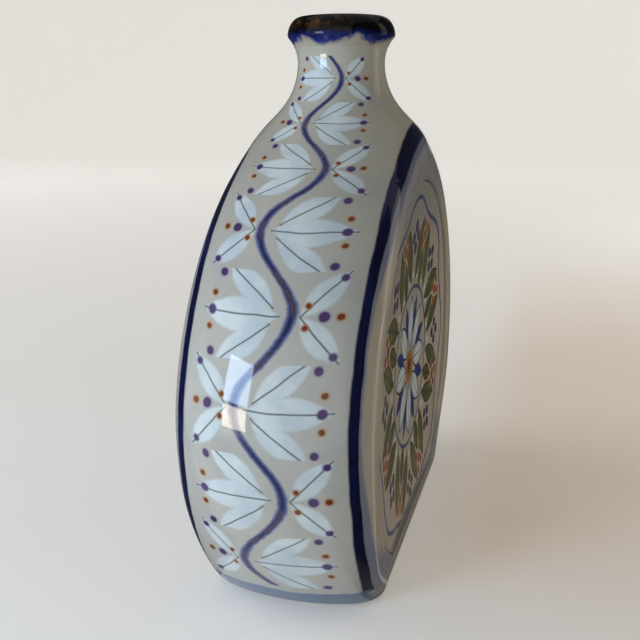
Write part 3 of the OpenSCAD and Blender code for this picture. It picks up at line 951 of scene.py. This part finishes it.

# %% [markdown]
# ## Studio
# A photographer stands a small vase on a sheet that sweeps up behind it, so that no edge of the
# table shows. This one sweeps up all round, because the vase is looked at from every side. The
# paper is matt, with hardly any gloss. It glows a little for the camera and in reflections, and
# so stays pale without more light on the vase. The glow is weaker near the vase, where the
# shadow has to show. Where the vase's shadow falls, the glow is tinted darker and warmer: a
# painted warm shade.

# %% Make the sweep
# Sizes in millimetres. The paper lies just under the table's level, so that the foot stands clear
SWEEP_R, SWEEP_CURVE, SWEEP_H, SWEEP_DROP = 2600.0, 900.0, 2600.0, 0.05
SWEEP_AROUND, FLOOR_STEPS, CURVE_STEPS, SWEEP_MERGE_M = 96, 12, 16, 1e-5
sweep_profile = [(SWEEP_R * (n / FLOOR_STEPS) ** 2, -SWEEP_DROP) for n in range(FLOOR_STEPS + 1)]
curve = arc(SWEEP_R, SWEEP_CURVE, SWEEP_CURVE, -pi / 2, 0, CURVE_STEPS)[1:]
sweep_profile += [(r, z - SWEEP_DROP) for r, z in curve]
sweep_profile.append((SWEEP_R + SWEEP_CURVE, SWEEP_H))


def sweep_place(i, j):
    a = 2 * pi * i / SWEEP_AROUND
    r, z = sweep_profile[j]
    return r * cos(a), r * sin(a), z


sweep = push_grid("sweep", SWEEP_AROUND, len(sweep_profile) - 1, sweep_place)
bpy.ops.object.mode_set(mode="EDIT")
bpy.ops.mesh.select_all(action="SELECT")
bpy.ops.mesh.remove_doubles(threshold=SWEEP_MERGE_M)
bpy.ops.mesh.normals_make_consistent(inside=True)
bpy.ops.object.mode_set(mode="OBJECT")
bpy.ops.object.shade_smooth()
print("sweep radius", SWEEP_R * MM, "m")

# %% Make the paper
# Strength of the glow near the vase and far from it, at distances in metres
GLOW_NEAR, GLOW_FAR = (0.2, 0.21), (1.7, 0.48)
# Its tone drifts over about a third of a metre
TONE = 3.0
paper, tree, shader, coords = new_finish("matt_studio_paper")
tone = add(tree, "TexNoise", coords, None, TONE, 2.0, 0.5)
tree.links.new(stroke(tree, "#e4e2df", "#e9e7e4", tone), shader.inputs["Base Color"])
shader.inputs["Roughness"].default_value = 0.9
shader.inputs["Specular IOR Level"].default_value = 0.1
away = add(tree, "VectorMath", coords, operation="LENGTH").node.outputs["Value"]
seen = add(tree, "LightPath").node.outputs
direct = add(tree, "Math", seen["Is Camera Ray"], seen["Is Glossy Ray"], operation="MAXIMUM")
direct = add(tree, "Math", direct, seen["Is Transmission Ray"], operation="MAXIMUM")
level = add(tree, "MapRange", away, GLOW_NEAR[0], GLOW_FAR[0], GLOW_NEAR[1], GLOW_FAR[1])
tree.links.new(mask(tree, direct, level), shader.inputs["Emission Strength"])
x_m, y_m, _ = add(tree, "SeparateXYZ", coords).node.outputs
# Painted shade: on the floor beside the front face, where the vase's shadow falls, the glow is
# tinted darker and warmer
glow = stroke(tree, "#fffdf8", "#e6c6a4", (y_m, -0.02, -0.09), (x_m, -0.12, 0.02),
              (away, 0.8, 0.25))
tree.links.new(glow, shader.inputs["Emission Color"])
sweep.data.materials.append(paper)
print("paper nodes:", len(tree.nodes))

# %% [markdown]
# A glossy glaze mirrors the pale sweep, and at a flat angle that would wash out the painting on
# the faces and the rims. Photographers put dark cards where the glaze would see the paper. They
# lie on the floor beside each face and rise behind it. Only reflections see them, so they
# neither show nor throw a shadow. A gap between two of them lets the crest of the rim mirror a
# thin line of paper. Their felt is lighter close to the vase, which lightens what the foot of
# each face mirrors.

# %% Stand the cards
# For each card its side, and the places (x, y) in millimetres of its near and its far edge
CARDS = {
    "rim_card": (-1, ((-380, 140), (-118, 36), (-62, 34)), ((-440, 330), (-160, 330), (110, 360))),
    "front_card": (-1, ((-62, 34), (100, 34), (130, 0)), ((250, 350), (390, 280), (420, 0))),
    "back_card": (1, ((-118, 36), (100, 34), (130, 0)), ((-160, 330), (150, 360), (420, 0))),
}
CARD_H, CARD_LIFT = 620.0, -0.03
# The felt's nap is about 3 mm wide
NAP = 300.0
felt, tree, shader, coords = new_finish("grey_felt")
nap = add(tree, "TexNoise", coords, None, NAP, 2.0, 0.5)
shade = stroke(tree, "#44423e", "#504d48", nap)
y_m = add(tree, "SeparateXYZ", coords).node.outputs[1]
across = add(tree, "Math", y_m, operation="ABSOLUTE")
shade = stroke(tree, shade, "#a8a39b", (across, 0.062, 0.04))
tree.links.new(shade, shader.inputs["Base Color"])
shader.inputs["Roughness"].default_value = 0.95


def card_point(side, near, far):
    def place(i, j):
        x, y = (far if j else near)[i]
        return x, side * y, CARD_H if j == 2 else CARD_LIFT
    return place


for name, (side, near, far) in CARDS.items():
    card = push_grid(name, len(near) - 1, 2, card_point(side, near, far))
    card.data.materials.append(felt)
    card.visible_camera = card.visible_diffuse = False
    card.visible_shadow = card.visible_transmission = False
print("cards:", ", ".join(CARDS))

# %% [markdown]
# ## Camera and light
# The photograph looks along the vase almost edge-on, from a little above the shoulder. Window
# light comes from the left, so the band is bright and the broad face at the right lies in
# shade. Two lamps stand for the window that the glaze mirrors: blue sky, and pale panes below.
# A soft box and a weak fill lighten the shade, and the glaze doesn't mirror them.

# %% Place the camera
# Distance from the vase's axis and height, in millimetres, and the focal length in pixels
CAMERA_AT, CAMERA_H, FOCAL_PX = 379.6, 209.05, 811.6
FRAME_PX, SENSOR = 640, 36.0
# Direction from the front, turn and tilt of the view, and roll
CAMERA_SIDE, CAMERA_YAW = radians(-74.715), radians(1.532)
CAMERA_PITCH, CAMERA_ROLL = radians(-15.80), radians(-0.317)
eye = MM * Vector((sin(CAMERA_SIDE) * CAMERA_AT, -cos(CAMERA_SIDE) * CAMERA_AT, CAMERA_H))
heading = CAMERA_SIDE + CAMERA_YAW
ahead = Vector((-sin(heading), cos(heading), 0))
forward = ahead * cos(CAMERA_PITCH) + Vector((0, 0, 1)) * sin(CAMERA_PITCH)
right = forward.cross(Vector((0, 0, 1))).normalized()
up = right.cross(forward)
right, up = (right * cos(CAMERA_ROLL) + up * sin(CAMERA_ROLL),
             up * cos(CAMERA_ROLL) - right * sin(CAMERA_ROLL))
camera = bpy.data.objects.new("camera", bpy.data.cameras.new("camera"))
camera.data.sensor_width = SENSOR
camera.data.lens = FOCAL_PX / FRAME_PX * SENSOR
camera.data.clip_start = 0.01
turn = Matrix((right, up, -forward)).transposed().to_4x4()
camera.matrix_world = Matrix.Translation(eye) @ turn
bpy.context.scene.collection.objects.link(camera)
bpy.context.scene.camera = camera
print(f"lens {camera.data.lens:.1f} mm")

# %% Place the lamps
# For each lamp its place, width and height in metres, its watts and colour, and whether the
# glaze mirrors it
LAMPS = {
    "window_sky": ((-0.59, 0.36, 0.24), (0.22, 0.21), 1.95, "#bcdcff", True),
    "window_low": ((-0.59, 0.36, 0.065), (0.2, 0.11), 1.0, "#fff5e2", True),
    "fill": ((0.85, -1.0, 0.22), (0.9, 0.4), 5.2, "#ffefdc", False),
    "soft_box": ((-0.1, 2.2, 1.3), (1.6, 1.2), 15.5, "#f2f6ff", False),
}
AIM = Vector((0, 0, 0.12))
for name, (at, size, power, colour, glossy) in LAMPS.items():
    data = bpy.data.lights.new(name, "AREA")
    data.shape = "RECTANGLE"
    data.size, data.size_y = size
    data.energy = power
    data.color = linear(colour)[:3]
    lamp = bpy.data.objects.new(name, data)
    lamp.location = at
    lamp.rotation_euler = (AIM - Vector(at)).to_track_quat("-Z", "Y").to_euler()
    lamp.visible_glossy = glossy
    bpy.context.scene.collection.objects.link(lamp)
print("lamps:", ", ".join(LAMPS))

# %% Light the room
# Strength of the room's light from the front and from the back
ROOM_FRONT, ROOM_BACK = 0.23, 0.56
world = bpy.data.worlds.new("soft_room")
world.use_nodes = True
tree = world.node_tree
sky = tree.nodes["Background"]
sky.inputs["Color"].default_value = linear("#f6f2ea")
way_in = add(tree, "TexCoord").node.outputs["Generated"]
way_y = add(tree, "SeparateXYZ", way_in).node.outputs[1]
strength = add(tree, "MapRange", way_y, -1.0, 1.0, ROOM_FRONT, ROOM_BACK)
tree.links.new(strength, sky.inputs["Strength"])
bpy.context.scene.world = world
bpy.context.scene.view_settings.view_transform = "Standard"
print("room lit from", ROOM_FRONT, "to", ROOM_BACK)
